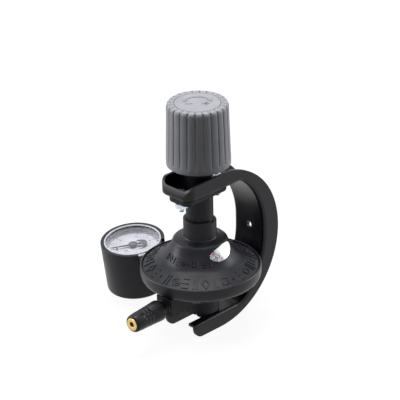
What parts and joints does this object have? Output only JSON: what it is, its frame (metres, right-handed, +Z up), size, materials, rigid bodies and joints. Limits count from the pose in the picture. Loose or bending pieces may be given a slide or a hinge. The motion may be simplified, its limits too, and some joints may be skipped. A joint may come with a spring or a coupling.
{
  "type": "clamp-on gas regulator",
  "caption": "Clamp-on gas regulator: screw knob on a telescoping neck, C-shaped arm with valve fork, conical diaphragm housing, side hose tail and round pressure gauge.",
  "frame": {"origin": "centre of the inlet boss's lower face, on the regulator's axis", "axes": "+Z up along the spindle, -X along the hose tail, +Y towards the gauge"},
  "size_m": [0.121, 0.1154, 0.1514],
  "materials": {
    "arm_paint": "black semi-gloss stove enamel",
    "casting_paint": "satin black powder coat on die casting",
    "crimp_steel": "black coated steel",
    "zinc_steel": "bright zinc plate",
    "steel": "turned steel",
    "brass": "turned brass",
    "knob_plastic": "mid-grey nylon",
    "case_plastic": "black plastic with a fine grain",
    "liner_plastic": "light grey",
    "tail_plastic": "black",
    "rubber": "black nitrile",
    "lens_clear": "clear acrylic",
    "dial_white": "white enamel with printed scale",
    "pointer_grey": "grey",
    "foil": "silver holographic foil"
  },
  "bodies": {
    "clamp": {"clamp_arm": "arm_paint", "neck_bridge": "casting_paint", "spindle_nut": "brass", "bridge_screws": "zinc_steel", "bridge_nuts": "zinc_steel"},
    "thrust_ring": {"thrust_washer": "brass"},
    "knob": {"knob_shell": "knob_plastic", "knob_cap": "knob_plastic", "knob_washer": "steel", "knob_screw": "zinc_steel", "spindle": "steel", "spindle_circlip": "steel"},
    "regulator": {"bonnet": "casting_paint", "crimp_ring": "crimp_steel", "lower_housing": "casting_paint", "diaphragm": "rubber", "loading_spring": "steel", "inlet_seal": "rubber", "pin_carrier": "brass", "push_pin": "brass", "inlet_filter": "brass", "orifice": "brass", "lever_pin": "steel", "hose_tail": "tail_plastic", "tail_seal": "rubber", "tail_insert": "brass", "foil_seal": "foil", "gauge_case": "case_plastic", "gauge_liner": "liner_plastic", "gauge_lens": "lens_clear", "gauge_dial": "dial_white", "dial_screws": "brass", "stop_pin": "brass", "gauge_socket": "brass", "port_seal": "rubber", "bourdon_tube": "brass", "movement_frame": "brass"},
    "diaphragm_stack": {"lower_plate": "zinc_steel", "upper_plate": "zinc_steel", "diaphragm_stem": "brass", "stem_nut": "brass"},
    "lever_arm": {"lever": "steel"},
    "valve_seat": {"seat_holder": "brass", "seat_pad": "rubber"},
    "gauge_pointer": {"pinion": "brass", "pointer": "pointer_grey"},
    "gauge_sector": {"sector_gear": "brass"}
  },
  "joints": [
    {"name": "body_lift", "type": "slide", "parent": "clamp", "child": "thrust_ring", "axis": [0, 0, 1], "range_m": [0, 0.0145]},
    {"name": "knob_spin", "type": "hinge", "parent": "thrust_ring", "child": "knob", "pos_m": [0, 0, 0.1], "axis": [0, 0, 1], "range_deg": [0, 2088.5]},
    {"name": "body_swivel", "type": "hinge", "parent": "thrust_ring", "child": "regulator", "pos_m": [0, 0, 0.0345], "axis": [0, 0, 1], "range_deg": [-45, 90]},
    {"name": "diaphragm_travel", "type": "slide", "parent": "regulator", "child": "diaphragm_stack", "axis": [0, 0, 1], "range_m": [-0.001, 0.001], "stiffness_N_per_m": 2000, "deforming": ["loading_spring", "diaphragm"]},
    {"name": "lever_tilt", "type": "hinge", "parent": "regulator", "child": "lever_arm", "pos_m": [0.0155, 0, 0.0205], "axis": [0, 1, 0], "range_deg": [-3.7, 3.7]},
    {"name": "seat_travel", "type": "slide", "parent": "regulator", "child": "valve_seat", "axis": [1, 0, 0], "range_m": [-0.0002, 0.0002]},
    {"name": "pointer_sweep", "type": "hinge", "parent": "regulator", "child": "gauge_pointer", "pos_m": [0, 0.05682, 0.0114], "axis": [0.1097, 0, -0.994], "range_deg": [0, 270]},
    {"name": "sector_swing", "type": "hinge", "parent": "regulator", "child": "gauge_sector", "pos_m": [0, 0.06382, 0.0114], "axis": [0.1097, 0, -0.994], "range_deg": [-56.85, 0]}
  ],
  "couplings": [
    {"joint": "knob_spin", "follows": "body_lift", "rad_per_m": 2513.3},
    {"joint": "lever_tilt", "follows": "diaphragm_travel", "rad_per_m": 64.516},
    {"joint": "seat_travel", "follows": "diaphragm_travel", "ratio": -0.19355},
    {"joint": "sector_swing", "follows": "pointer_sweep", "ratio": -0.2087}
  ]
}
